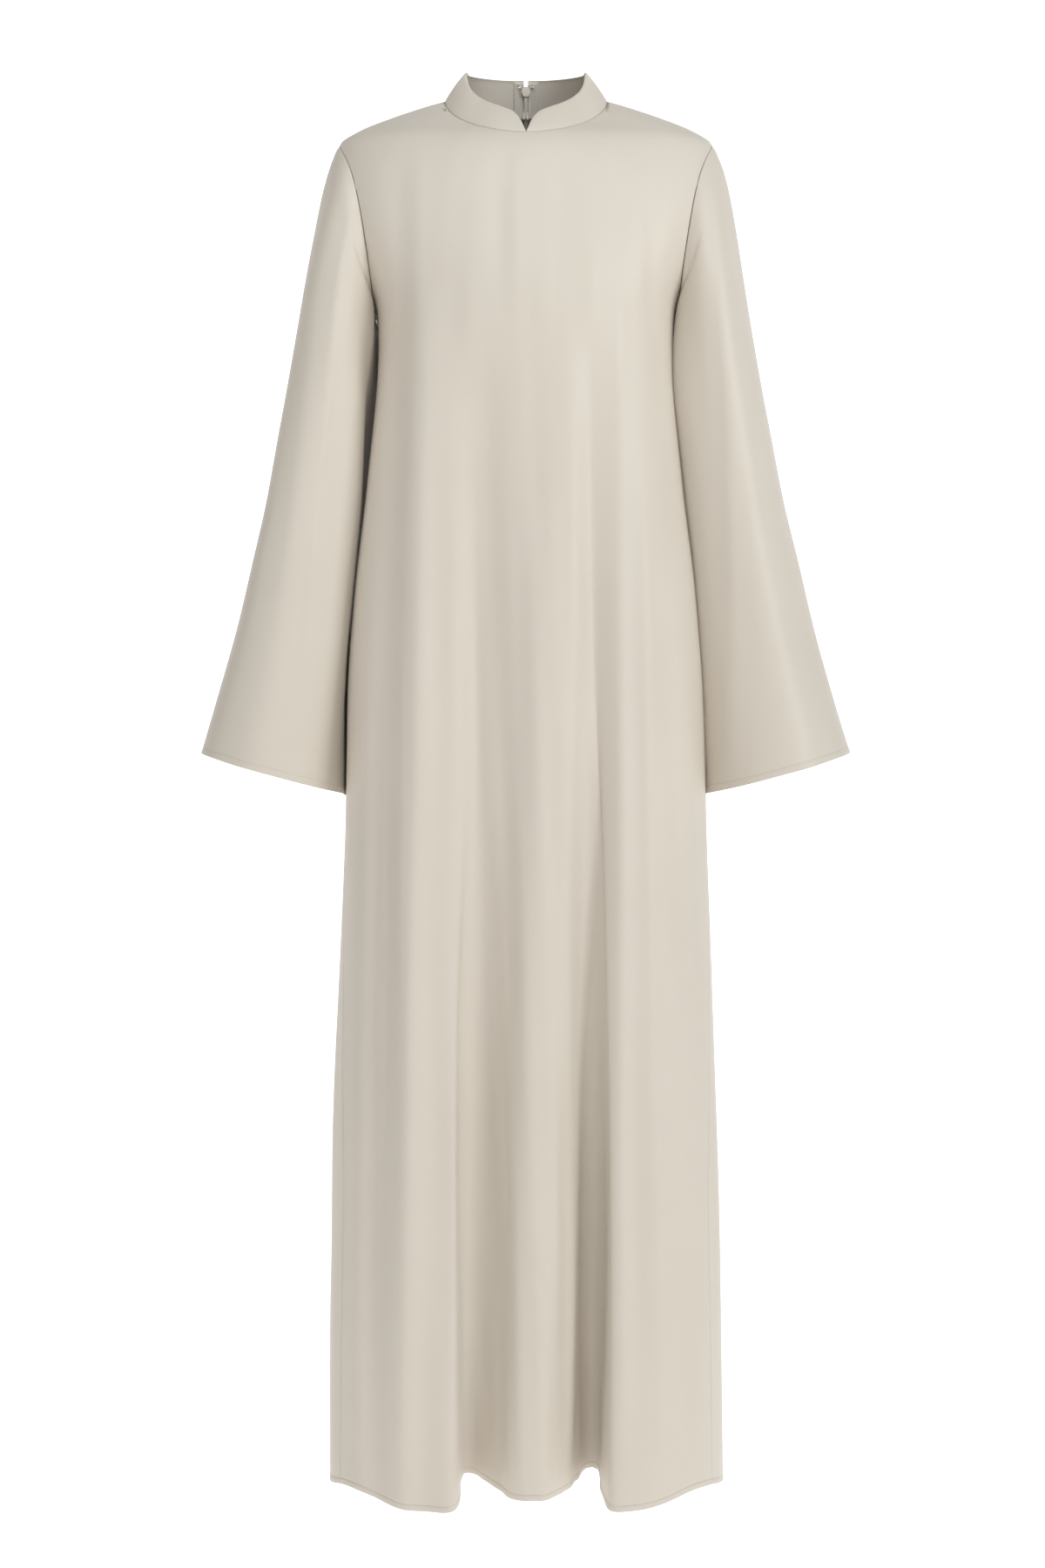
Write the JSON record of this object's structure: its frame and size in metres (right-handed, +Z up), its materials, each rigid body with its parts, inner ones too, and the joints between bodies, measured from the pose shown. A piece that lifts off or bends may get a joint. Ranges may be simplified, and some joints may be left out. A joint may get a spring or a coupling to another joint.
{
  "type": "long bell-sleeved abaya, filled out as worn",
  "caption": "Floor-length A-line abaya of heavy crepe with a petal-front stand collar, set-in bell sleeves and a concealed centre back zip, as worn and hollow.",
  "frame": {"origin": "middle of the neck base, level with its two sides, where the garment hangs from the wearer's shoulders", "axes": "+Z up, -Y out of the front, +X towards the wearer's left"},
  "size_m": [0.691, 0.234, 1.5131],
  "materials": {
    "crepe": "soft matt crepe with a faint satin sheen, stone beige",
    "zip_tape": "woven polyester tape, beige",
    "zip_nylon": "nylon coil, beige",
    "zip_metal": "beige lacquered zinc",
    "wire": "satin wire"
  },
  "bodies": {
    "garment": {"front": "crepe", "back_left": "crepe", "back_right": "crepe", "sleeve_left": "crepe", "sleeve_right": "crepe", "collar_left": "crepe", "collar_right": "crepe", "zip_tape_left": "zip_tape", "zip_tape_right": "zip_tape", "zip_chain": "zip_nylon", "zip_slider": "zip_metal", "hook": "wire", "eye": "wire"},
    "zip_pull": {"zip_pull": "zip_metal"}
  },
  "joints": [
    {"name": "zip_pull_hinge", "type": "hinge", "parent": "garment", "child": "zip_pull", "pos_m": [0, 0.06179, 0.02652], "axis": [1, 0, 0], "range_deg": [0, 165]}
  ]
}
